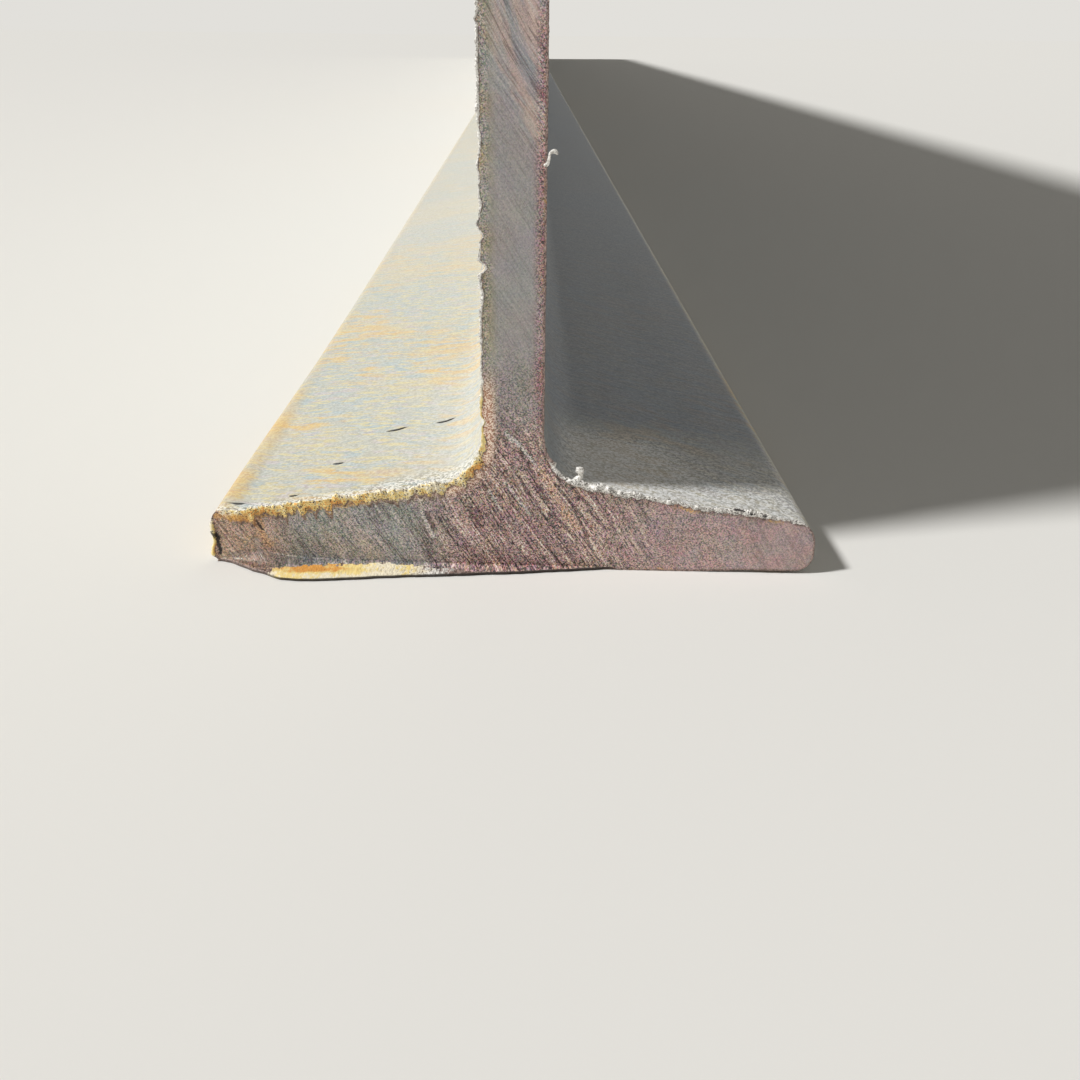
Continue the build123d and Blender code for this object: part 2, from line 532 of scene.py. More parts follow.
def buildBurr(name, material, far, seed):
    b = burr
    points, normals, arc = finePath(b["step"], b["coarseStep"])
    lineX, lineZ = points.T
    web, left, right, atHeap, tip, low = burrZones(lineX, lineZ)
    near = 0.0 if far else 1.0

    def uneven(label, number, octaves=3):
        return rough(arc, b["periods"][label], seed + number, octaves)

    def gaps(label, number):
        return wander(arc, b["periods"][label], seed + number)

    def varied(label, number):
        level, share = b[label + "Varies"]
        return level + share * uneven(label, number)

    fillX, fillZ = tipFill(lineX, lineZ)
    x = lineX + near * (fillX + notchShift(lineX, lineZ))
    z = lineZ + near * fillZ
    heap = np.interp(x, *np.array(b["heap"]).T * mm) * smooth(*b["low"], z) * (lineZ > b["heapFloor"]) * near
    tall = b["least"] + web * np.where(x < 0, b["webLeft"], b["webRight"])
    tall = tall + left * b["leftInner"] * (1 - b["leftTipLess"] * smooth(*b["leftTipStart"], -x))
    tall = tall + right * b["rightInner"] * (1 - atHeap * near)
    level, byRough, byThorns, sharpness = b["spikes"]
    spikes = np.clip(level + byRough * uneven("spike", 0, 4) + byThorns * gaps("thorn", 9), 0, 2) ** sharpness
    fin = b["tipFin"] * tip * varied("fin", 15) * near
    heapHeight = heap * (1 + b["heapVaries"] * uneven("heap", 13))
    out = tall * spikes * (1 if near else b["farScale"]) + heapHeight + fin
    crust = np.maximum(atHeap, right * smooth(*b["crustStart"], lineX) * low)
    wide = b["root"] + (b["leftRoot"] * left * low + b["rightRoot"] * crust) * near
    anywhere, byCrust, byLeft = b["rootVaries"]
    wide = wide * (1 + anywhere * uneven("root", 60, 4) + byCrust * crust * gaps("crustGap", 61))
    wide = wide * (1 + byLeft * left * gaps("leftGap", 62))
    front = b["forward"] * (out + 0.5 * heap) + b["leastFront"]
    front = front * np.clip(varied("front", 20), 0.1, 2)
    front = front + (b["leftFront"] * left * low + b["crustFront"] * crust + b["tipFront"] * tip) * near
    lean = b["lean"] * uneven("lean", 40)
    crumbs = b["crumble"] * np.clip(left + crust + 0.25 * web, 0, 1) * (0.5 + 0.5 * near)
    outwards, forwards = [], []
    last = len(b["profile"]) - 1
    atEnd, between = b["crumbVaries"]
    for number, (inShare, outShare, frontShare) in enumerate(b["profile"]):
        crumb = crumbs * (atEnd if number in (0, last) else between) * uneven("crumb", 80 + number, 2)
        outwards.append(inShare * wide + outShare * out + crumb * (number > 4))
        forwards.append(frontShare * front + crumb + (lean if number == last else 0))
    outwards += [out * b["behindOut"] + lean * b["behindLean"], -b["hidden"] + 0 * out, -wide]
    forwards += [-b["behindBack"] * b["back"] + 0 * out, -b["back"] + 0 * out, -b["back"] + 0 * out]
    outwards, forwards = np.stack(outwards), np.stack(forwards)
    px = x[None] + outwards * normals[None, :, 0]
    pz = np.clip(z[None] + outwards * normals[None, :, 1], b["floorGap"], depth - b["floorGap"])
    cut = farFace + 0 * px if far else nearCut(px)
    py = cut + forwards * (1 if far else -1)
    quads = gridQuads(len(outwards), len(x), True, True)
    if not far:
        quads = quads[:, ::-1]
    corners = np.stack([px, py, pz], -1).reshape(-1, 3)
    rootRust = b["rootRustLevel"] * (hump(lineZ, *b["rootRust"]) * smooth(*b["rootRustSide"], lineX))
    ochre = np.maximum(varied("ochre", 90) * left * low, b["tipRust"] * tip)
    ochre = np.maximum(ochre, rootRust) * near
    bare = np.clip(web * (lineX < 0) + crust * 1.5 + left + tip, 0, 1)
    values = {
        "rusty": ochre[None] * np.array(b["rowRust"])[:, None],
        "facelike": np.maximum(1 - bare[None], np.array(b["rowFace"])[:, None]),
        "crumbly": np.clip(left + crust, 0, 1)[None] + 0 * px,
    }
    addPiece(makeMesh(name, corners, quads, [material], None, values))


# The lip along the bottom left edge, where the last sliver bent forwards as the saw broke through

lip = {
    # mm: x, front edge's y from the cut's middle, height where it leaves the face; share that looks sawn
    "line": [
        (-81.2, 3.4, 3.0, 0.80), (-80.0, 3.0, 4.2, 0.85), (-77.5, 2.2, 5.2, 0.88),
        (-74.3, -0.2, 5.8, 0.88), (-70.3, -3.1, 5.5, 0.87), (-67.0, -4.6, 4.4, 0.82),
        (-65.0, -6.0, 3.6, 0.62), (-61.9, -8.0, 2.6, 0.45), (-56.6, -9.0, 2.0, 0.34),
        (-46.0, -8.1, 1.4, 0.23), (-34.0, -6.9, 1.1, 0.10), (-17.0, -5.5, 1.0, 0.50),
        (-10.0, -5.0, 0.9, 0.90), (2.0, -4.0, 0.9, 0.95), (13.0, -2.7, 0.7, 0.96), (22.0, -1.5, 0.4, 0.96),
        (30.0, -0.7, 0.2, 0.96),
    ],
    "step": 0.00035,
    "topRows": 20,
    "inside": 0.0015,  # how far behind the sawn face its hidden rows lie
    "topInside": 0.0003,
    "edgeRagged": 0.00022,
    "edgeHeight": 0.0010,
    "underside": 0.00018,
    "lowest": 0.00005,
    "groove": 0.00013,
    "halfWaves": 3.1,  # of grooves, across it
    "crumb": 0.00009,
    "closeLeft": 0.001,  # lengths over which its ends close
    "closeRight": 0.004,
    "bend": 1.5,  # powers of its curve, forwards and down
    "fall": 2.4,
    "ledgeStart": (0.15, 0.35),
    "ledgeEnd": (1.0, 0.85),
    "grooveSway": 0.8,
    "edgeDrop": 0.00015,
    "edgeTuck": (0.00008, 0.0001),
    "periods": {"edge": 0.004, "sway": 0.012, "crumb": 0.0011, "grain": 0.0005, "drift": 0.0011},
    # along it, x where each look begins and is whole
    "along": {
        "orange": (-0.033, -0.050), "orangeTip": (-0.071, -0.065), "yellow": (-0.019, -0.034),
        "crumbly": (-0.040, -0.028), "grain": (-0.030, 0.0), "bottom": (-0.070, -0.060),
        "paintedLipShade": (-0.048, -0.062), "paintedLipShadeEnd": (-0.017, -0.030), "leftFace": (-0.0615, -0.0680),
        "middleFace": (-0.030, -0.022), "rightFace": (-0.022, -0.013),
    },
    # across it, from 0 where the sawn part ends to 1 at the front, in the same way
    "past": {"orange": (0.30, 0.85), "yellow": (0.5, 0.9), "paintedLipShade": (0.0, -0.1), "face": (0.10, 0.0)},
    # least share of each and what its range adds
    "levels": {
        "grain": (0.13, 0.24), "orange": (1.1, -0.85), "orangeTip": (0.5, 0.5), "yellow": (0.52, -0.26),
        "bottom": (0.3, 0.7), "paintedLipShade": (0.26, 0.24), "crumbly": (0.25, 0.3),
    },
    "orangeMost": 0.93,
    "faceShares": (0.28, 0.50),
    # painted shadow on the last four rows, round the front edge and underneath
    "shadowedRows": (0.2, 0.9, 1, 1),  # the last four, round the edge and underneath
}


def buildLip(materials):
    # rows run from inside the bar out over the top, round the front edge and back underneath; the top
    # leaves the face downwards and bends forwards: y falls with t to the power of bend, and z with 1 - t to
    # the power of fall
    s = lip

    def ranging(label, where, way="along"):
        return smooth(*s[way][label], where)

    def level(label, where, way="along"):
        least, more = s["levels"][label]
        return least + more * ranging(label, where, way)

    table = np.array(s["line"]) * (mm, mm, mm, 1)
    x = np.arange(table[0, 0], table[-1, 0], s["step"])
    front, rootHeight, sawn = (np.interp(x, table[:, 0], table[:, k]) for k in (1, 2, 3))
    face = -x * skewSlope
    front = np.minimum(front + s["edgeRagged"] * rough(x, s["periods"]["edge"], 71), face - 0.0001)
    reach = face - front
    t = np.linspace(0, 1, s["topRows"])[:, None]
    share = t ** s["bend"]
    top = s["edgeHeight"] + (rootHeight - s["edgeHeight"])[None] * (1 - t) ** s["fall"]
    ledge = smooth(*s["ledgeStart"], t) * smooth(*s["ledgeEnd"], t)
    wave = share * math.pi * s["halfWaves"] + s["grooveSway"] * rough(x, s["periods"]["sway"], 75)[None]
    top = top + s["groove"] * ledge * np.sin(wave)
    top = top + ledge * s["crumb"] * rough(x[None] + 0.003 * t, s["periods"]["crumb"], 77)
    topY = face[None] + s["topInside"] - (reach[None] + s["topInside"]) * share
    hidden = face + s["inside"]
    ahead, behind = s["edgeTuck"]
    rowsY = np.vstack([hidden, topY, front - ahead, front + behind, hidden])
    low = [top[-1] - s["edgeDrop"], s["underside"] + 0 * x, 0 * x + s["lowest"]]
    rowsZ = np.vstack([rootHeight, top, *low])
    close = np.minimum(smooth(0, s["closeLeft"], x - x[0]), smooth(0, s["closeRight"], x[-1] - x))
    rowsZ = s["lowest"] + (rowsZ - s["lowest"]) * (0.05 + 0.95 * close)
    rowsX = np.tile(x, (len(rowsY), 1))
    points = np.stack([rowsX, rowsY + nearCut(0), rowsZ], -1).transpose(1, 0, 2).reshape(-1, 3)
    quads = closeTube(len(x), len(rowsY))
    # across it: sawn, then orange and pale; along it: orange, yellow, white and then like the face
    down = np.concatenate([[0], share[:, 0], [1, 1, 1]])[None]
    grain = field(0.4 * x[:, None], 0.006 * down, s["periods"]["grain"], 79)
    grain = level("grain", x)[:, None] * grain
    past = (down - sawn[:, None]) / (1 - sawn[:, None]) + grain
    along = x[:, None] + 0.0016 * field(x[:, None], 0.004 * down, s["periods"]["drift"], 83)
    orange = ranging("orange", along) * np.clip(level("orange", past, "past"), 0, 1)
    orange = s["orangeMost"] * orange * level("orangeTip", along)
    yellow = ranging("yellow", along) * level("yellow", past, "past")
    # painted shadow under the lip's front edge, weaker at the left tip
    bottom = np.zeros(down.shape)
    bottom[:, -4:] = s["shadowedRows"]
    bottom = bottom * level("bottom", x)[:, None]
    # painted shade: the lip's sawn part faces upwards and is darkened so that it is no lighter than the face
    # above it, from just past its root
    paintedLipShade = level("paintedLipShade", along) * ranging("paintedLipShadeEnd", along)
    paintedLipShade = paintedLipShade * ranging("paintedLipShade", past, "past") * smooth(0.01, 0.06, down)
    middle, right = s["faceShares"]
    atEnds = middle * ranging("middleFace", along) + right * ranging("rightFace", along)
    atEnds = atEnds + ranging("leftFace", along)
    plain = 0 * orange
    values = {
        "rusty": np.maximum(orange, yellow),
        "crumbly": plain + level("crumbly", along),
        "facelike": np.maximum(0.85 * ranging("face", past, "past"), atEnds),
        "rim": plain + 0.003,
        "inner": plain + 0.01,
        # dark carries the lip's painted shadow and painted shade
        "dark": np.maximum(bottom, paintedLipShade),
    }
    slots = np.zeros(len(quads), int)
    slots[:past[1:].size] = (past[1:] < 0).ravel()
    addPiece(makeMesh("bottomLip", points, quads, materials, slots, values))


# Swarf that still hangs on the edges: bent tubes of changing thickness

swarf = {
    # x, y in front of the cut, z and radius along each one, in mm
    "webCurl": [
        (7.2, -0.4, 104.4, 0.4), (7.8, 0.1, 104.7, 0.5), (8.3, 0.4, 105.5, 0.35), (8.5, 0.5, 106.6, 0.3),
        (9.0, 0.5, 107.5, 0.4), (9.8, 0.4, 107.6, 0.5), (10.5, 0.3, 107.0, 0.4),
    ],
    "rootTooth": [
        (16.6, -1.0, 25.0, 1.2), (17.3, -0.8, 26.1, 1.0), (17.7, -0.6, 26.9, 0.6), (17.7, -0.5, 27.6, 0.6),
        (17.6, -0.5, 28.3, 1.1), (17.5, -0.5, 29.0, 1.0), (17.5, -0.5, 29.6, 0.8),
    ],
    "rings": 40,
    "around": 14,
    "endLength": 0.35,  # of the first and last stretch, over which it rounds off
    "lumps": 0.35,
    "flatness": 0.7,
}


def buildSwarf(name, route, material, seed):
    # a circle of changing radius carried along a smooth line through the given points
    s = swarf
    table = np.array(route) * mm
    t = np.linspace(0, len(table) - 1, s["rings"])
    cell = np.clip(t.astype(int), 0, len(table) - 2)
    share = (t - cell)[:, None]
    before, after = table[np.maximum(cell - 1, 0)], table[np.minimum(cell + 2, len(table) - 1)]
    first, second = table[cell], table[cell + 1]
    line = 0.5 * (2 * first + (second - before) * share
                  + (2 * before - 5 * first + 4 * second - after) * share ** 2
                  + (3 * first - 3 * second + after - before) * share ** 3)
    centre = np.stack([line[:, 0], nearCut(line[:, 0]) - line[:, 1], line[:, 2]], 1)
    tangent = np.gradient(centre, axis=0)
    tangent /= np.linalg.norm(tangent, axis=1)[:, None]
    side = np.cross(tangent, [0, 1, 0])
    side /= np.linalg.norm(side, axis=1)[:, None]
    other = np.cross(side, tangent)
    angle = np.linspace(0, 2 * math.pi, s["around"], endpoint=False)
    ends = np.sqrt(np.clip(np.minimum(t, t[-1] - t) / s["endLength"], 0.01, 1))
    radius = (line[:, 3] * ends)[:, None] * (1 + s["lumps"] * field(t[:, None], angle[None] * 2, 0.7, seed))
    ring = np.cos(angle)[None, :, None] * side[:, None]
    ring = ring + s["flatness"] * np.sin(angle)[None, :, None] * other[:, None]
    points = (centre[:, None] + radius[:, :, None] * ring).reshape(-1, 3)
    addPiece(makeMesh(name, points, closeTube(s["rings"], s["around"], True), [material]))


# Laps of mill scale on the left inner face: thin blisters, raised and broken open in front, with painted
# shade in the open front

laps = {
    # x and distance behind the cut of both ends, width along the bar, in mm
    "places": [
        (-25.1, 51.6, -17.6, 54.7, 4.8), (-40.4, 50.0, -32.3, 52.2, 4.2), (-53.1, 27.7, -48.7, 27.6, 3.4),
        (-78.6, 6.2, -72.4, 5.6, 3.8), (-61.5, 6.4, -58.5, 6.6, 2.6),
    ],
    "height": 0.00032,
    "alongCells": 32,
    "acrossCells": 25,
    "topShare": 0.75,  # of the cells across it
    "sway": 0.0003,
    "swayPeriod": 0.002,
    "pointed": 0.6,
    "rise": (0.0, 0.14),
    "fall": (1.0, 0.30),
    "heightVaries": 0.4,
    "heightPeriod": 0.0015,
    "shadeAcross": (0.22, 0.10),
    "shadeAlong": (0.4, 0.8),
    "belly": 0.00003,
    "sunk": 0.0003,  # how far its underside lies in the flange
}


def buildLaps(material):
    # over each lap u runs along it; v runs across its top from front to back and then under it to the
    # front again; the top is a skewed hump
    s = laps
    lines = (np.linspace(0, 1, s[cells] + 1) for cells in ("alongCells", "acrossCells"))
    u, v = np.meshgrid(*lines, indexing="ij")
    onTop = v < s["topShare"]
    across = np.where(onTop, v / s["topShare"], (1 - v) / (1 - s["topShare"]))
    points, shades = [], []
    for number, (x0, y0, x1, y1, width) in enumerate(np.array(s["places"]) * mm):
        taper = np.sin(math.pi * np.clip(u, 0.01, 0.99)) ** s["pointed"]
        x = x0 + (x1 - x0) * u
        centre = y0 + (y1 - y0) * u + s["sway"] * rough(x, s["swayPeriod"], 90 + number)
        y = centre + width * taper * (across - 0.5)
        shape = smooth(*s["rise"], across) * smooth(*s["fall"], across)
        varies = 1 + s["heightVaries"] * rough(x, s["heightPeriod"], 95 + number)
        lift = s["height"] * taper * shape * varies * onTop
        z = innerLine(np.abs(x)) + toeDrop(x)
        fillX, fillZ = tipFill(x, z, y)
        z = z + fillZ + lift + np.where(onTop, s["belly"] * np.sin(math.pi * across), -s["sunk"])
        points.append(np.stack([x + fillX, nearCut(x) + y, z], -1).reshape(-1, 3))
        # painted shade in each lap's open front
        shade = smooth(*s["shadeAcross"], across) * smooth(*s["shadeAlong"], taper) * onTop
        shades.append(shade.ravel())
    one = closeTube(*u.shape, True)
    quads = np.concatenate([one + number * u.size for number in range(len(points))])
    dark = np.concatenate(shades)
    values = {"dark": dark, "rim": 0 * dark + 0.03}
    addPiece(makeMesh("scaleLaps", np.concatenate(points), quads, [material], None, values))


def toeDrop(x):
    # how far the toe arc lies below the sloping line, short of its steep end
    r = section["toeRadius"]
    over = np.clip(np.abs(x) - (halfWidth - r), 0, r * 0.95)
    return (np.sqrt(r * r - over ** 2) - r) * 0.85


# Node helpers and shared shader groups

def wire(tree, inputs, values):
    # gives inputs their values by name or number: a socket is linked, anything else is set
    for key, value in values.items():
        if isinstance(value, bpy.types.NodeSocket):
            tree.links.new(value, inputs[key])
        else:
            inputs[key].default_value = value


def addNode(tree, kind, values=None, **settings):
    node = tree.nodes.new(kind)
    for key, value in settings.items():
        setattr(node, key, value)
    wire(tree, node.inputs, values or {})
    return node


def mixColour(tree, factor, first, second, blend="MIX"):
    values = {0: factor, 6: first, 7: second}
    node = addNode(tree, "ShaderNodeMix", values, data_type="RGBA", blend_type=blend, clamp_factor=True)
    return node.outputs[2]


def calc(tree, operation, first, second=0.0, third=0.0, clamp=False):
    values = dict(enumerate((first, second, third)))
    return addNode(tree, "ShaderNodeMath", values, operation=operation, use_clamp=clamp).outputs[0]


def chain(tree, operation, first, *others):
    # one operation over all the values, from left to right
    for value in others:
        first = calc(tree, operation, first, value)
    return first


def times(tree, *factors):
    return chain(tree, "MULTIPLY", *factors)


def scaled(tree, value, factor, offset):
    # value times factor, plus offset
    return calc(tree, "MULTIPLY_ADD", value, factor, offset)


def swung(tree, value, pattern, share):
    # moves a value up and down with a pattern that lies round 0.5
    return scaled(tree, calc(tree, "SUBTRACT", pattern, 0.5), share, value)


def ranged(tree, value, low, high, toLow=0.0, toHigh=1.0):
    values = dict(enumerate((value, low, high, toLow, toHigh)))
    return addNode(tree, "ShaderNodeMapRange", values, interpolation_type="SMOOTHSTEP").outputs[0]


def vectorMath(tree, operation, first, second):
    values = {0: first, "Scale" if operation == "SCALE" else 1: second}
    node = addNode(tree, "ShaderNodeVectorMath", values, operation=operation)
    return node.outputs["Value" if operation in ("DOT_PRODUCT", "DISTANCE") else "Vector"]


def stretched(tree, vector, stretch, turn=(0, 0, 0)):
    # turns the pattern first and then stretches it, so a large value gives long marks along that axis
    values = {"Vector": vector, "Rotation": turn, "Scale": stretch}
    return addNode(tree, "ShaderNodeMapping", values, vector_type="TEXTURE").outputs[0]


def noise(tree, vector, scale, detail=3.0, roughness=0.55):
    values = {"Vector": vector, "Scale": scale, "Detail": detail, "Roughness": roughness}
    return addNode(tree, "ShaderNodeTexNoise", values).outputs["Fac"]


def colour(red, green, blue):
    # a screen colour from 0 to 255 as Blender's linear one
    parts = [c / 255 for c in (red, green, blue)]
    return tuple(c / 12.92 if c <= 0.04045 else ((c + 0.055) / 1.055) ** 2.4 for c in parts) + (1.0,)


def newGroup(name, inputs, outputs):
    # a group that takes a vector, and the given inputs, numbers or vectors
    group = bpy.data.node_groups.new(name, "ShaderNodeTree")
    group.interface.new_socket("Vector", in_out="INPUT", socket_type="NodeSocketVector")
    for label, value in inputs.items():
        kind = "NodeSocketVector" if isinstance(value, tuple) else "NodeSocketFloat"
        group.interface.new_socket(label, in_out="INPUT", socket_type=kind).default_value = value
    for label, kind in outputs.items():
        group.interface.new_socket(label, in_out="OUTPUT", socket_type="NodeSocket" + kind)
    return group, group.nodes.new("NodeGroupInput").outputs, group.nodes.new("NodeGroupOutput").inputs


def rustGroup():
    # patchy rust: a broad patch pattern cut by a fine one, and a colour from ochre to brown
    group, given, result = newGroup(
        "rustBloom", {"Amount": 0.5, "Patch": 60.0}, {"Mask": "Float", "Colour": "Color"},
    )
    broad = noise(group, given["Vector"], given["Patch"], 4)
    fine = noise(group, given["Vector"], 1100, 3, 0.7)
    both = calc(group, "ADD", times(group, broad, 0.55), times(group, fine, 0.45))
    limit = scaled(group, given["Amount"], -0.5, 0.75)
    mask = calc(group, "MULTIPLY", calc(group, "SUBTRACT", both, limit), 8.0, clamp=True)
    tone = mixColour(group, ranged(group, fine, 0.38, 0.62), colour(162, 108, 64), colour(236, 190, 112))
    wire(group, result, {"Mask": mask, "Colour": tone})
    return group


def gritGroup():
    # fine grain from random cells and a noise: a height, light and dark flecks, bright dots, a cell tint
    group, given, result = newGroup(
        "steelGrit",
        {"Size": 0.0003},
        {"Height": "Float", "Fleck": "Float", "Spark": "Float", "Tint": "Color"},
    )
    scale = calc(group, "DIVIDE", 1.0, given["Size"])
    cells = addNode(group, "ShaderNodeTexVoronoi", {"Vector": given["Vector"], "Scale": scale})
    cells = cells.outputs["Color"]
    parts = addNode(group, "ShaderNodeSeparateColor", {0: cells}).outputs
    soft = noise(group, given["Vector"], times(group, scale, 0.55), 2, 0.7)
    both = calc(group, "ADD", times(group, parts[0], 0.35), times(group, soft, 0.65))
    fleck, spark = ranged(group, both, 0.26, 0.74), ranged(group, parts[1], 0.88, 0.95)
    wire(group, result, {"Height": soft, "Fleck": fleck, "Spark": spark, "Tint": cells})
    return group


def streakGroup():
    # long marks: space bent by slow noise, turned and stretched, then two noises of two widths
    group, given, result = newGroup(
        "longMarks",
        {"Turn": (0, 0, 0), "Stretch": (1, 1, 1), "Scale": 100.0, "Bend": 0.001},
        {"Broad": "Float", "Thin": "Float"},
    )
    slow = addNode(group, "ShaderNodeTexNoise", {"Vector": given["Vector"], "Scale": 28.0, "Detail": 1.0})
    offset = vectorMath(group, "SUBTRACT", slow.outputs["Color"], (0.5, 0.5, 0.5))
    offset = vectorMath(group, "SCALE", offset, given["Bend"])
    bent = vectorMath(group, "ADD", given["Vector"], offset)
    space = stretched(group, bent, given["Stretch"], given["Turn"])
    broad = noise(group, space, given["Scale"], 3, 0.6)
    thin = noise(group, space, times(group, given["Scale"], 5.5), 2, 0.6)
    wire(group, result, {"Broad": broad, "Thin": thin})
    return group


def lineGroup():
    # a thin mark: 1 on the line from Start to End, 0 at Width away from it, seen along the bar; Waver is
    # added to the distance in widths
    group, given, result = newGroup(
        "thinLine",
        {"Start": (0, 0, 0), "End": (0, 0, 0.01), "Width": 0.0005, "Waver": 0.0},
        {"Mask": "Float"},
    )
    flat = vectorMath(group, "MULTIPLY", given["Vector"], (1, 0, 1))
    reach = vectorMath(group, "SUBTRACT", flat, given["Start"])
    line = vectorMath(group, "SUBTRACT", given["End"], given["Start"])
    along, whole = (vectorMath(group, "DOT_PRODUCT", first, line) for first in (reach, line))
    nearest = vectorMath(group, "SCALE", line, calc(group, "DIVIDE", along, whole, clamp=True))
    distance = vectorMath(group, "DISTANCE", reach, nearest)
    distance = calc(group, "ADD", calc(group, "DIVIDE", distance, given["Width"]), given["Waver"])
    wire(group, result, {"Mask": ranged(group, distance, 1.0, 0.4)})
    return group


def place(tree, group, vector, **values):
    return addNode(tree, "ShaderNodeGroup", dict(values, Vector=vector), node_tree=group).outputs


def newMaterial(name):
    material = bpy.data.materials.new(name)
    material.use_nodes = True
    return material, material.node_tree, material.node_tree.nodes["Principled BSDF"]


def objectSpace(tree):
    return addNode(tree, "ShaderNodeTexCoord").outputs["Object"]


def splitSpace(tree, space):
    return addNode(tree, "ShaderNodeSeparateXYZ", {0: space}).outputs


def cutSpace(tree):
    # depth in front of the near cut counts as height, so that its marks run on down over the lip
    fall = 0.31
    x, y, z = splitSpace(tree, objectSpace(tree))
    ahead = calc(tree, "SUBTRACT", scaled(tree, x, skewSlope, y), nearCut(0))
    ahead = calc(tree, "MINIMUM", ahead, 0.0)
    values = {0: x, 1: calc(tree, "SUBTRACT", y, ahead), 2: scaled(tree, ahead, fall, z)}
    return addNode(tree, "ShaderNodeCombineXYZ", values).outputs[0]


def findPatterns(tree, space, values):
    # the sockets that masks are made of: position, the mesh's own attributes, noises and grain
    given = dict(zip("xyz", splitSpace(tree, space)))
    for name in values["attributes"]:
        given[name] = addNode(tree, "ShaderNodeAttribute", attribute_name=name).outputs["Fac"]
    for name, settings in values["noises"].items():
        given[name] = noise(tree, space, *settings)
    found = place(tree, grit, space, Size=values["grainSize"])
    given.update(grain=found["Height"], fleck=found["Fleck"], spark=found["Spark"], tint=found["Tint"])
    return given


def product(tree, given, factors):
    # factors multiplied in turn: each is a number, the name of a pattern ("not name" for 1 minus it), such a
    # name with the range to take of it, or a list, which stands for the largest of its parts
    parts = []
    for factor in factors:
        if isinstance(factor, tuple):
            factor = ranged(tree, given[factor[0]], *factor[1:])
        elif isinstance(factor, list):
            factor = chain(tree, "MAXIMUM", *(product(tree, given, [part]) for part in factor))
        elif isinstance(factor, str) and factor.startswith("not "):
            factor = calc(tree, "SUBTRACT", 1.0, given[factor[4:]])
        elif isinstance(factor, str):
            factor = given[factor]
        parts.append(factor)
    return times(tree, *parts)


def paint(tree, given, tones, tone, layers):
    # lays one tone after the other over the first, each through the product of its factors
    for label, *factors in layers:
        tone = mixColour(tree, product(tree, given, factors), tone, tones[label])
    return tone


def addMasks(tree, given, masks):
    # adds a material's masks to the patterns, each open to the ones after it
    for name, factors in masks.items():
        given[name] = product(tree, given, factors)


def mixTones(tree, given, values):
    # a material's colours, and the tones that are mixed from them
    tones = {name: colour(*parts) for name, parts in values["colours"].items()}
    for name, (base, *layers) in values["tones"].items():
        tones[name] = paint(tree, given, tones, tones[base], layers)
    return tones


def addRust(tree, space, given, tones, amount, patch):
    bloom = place(tree, rust, space, Amount=amount, Patch=patch)
    given["bloom"], tones["bloom"] = bloom["Mask"], bloom["Colour"]


def finishShader(tree, shader, tone, roughness, metallic, height, distance):
    bump = addNode(tree, "ShaderNodeBump", {"Height": height, "Distance": distance}).outputs[0]
    values = {"Base Color": tone, "Roughness": roughness, "Metallic": metallic, "Normal": bump}
    wire(tree, shader.inputs, values)


rust = rustGroup()
grit = gritGroup()
marks = streakGroup()
thinLine = lineGroup()

# In the tables below a mask is a product of factors, each a pattern with where it starts and is whole, and
# its least and most share where these aren't 0 and 1; a tone starts from a colour and gets others over it

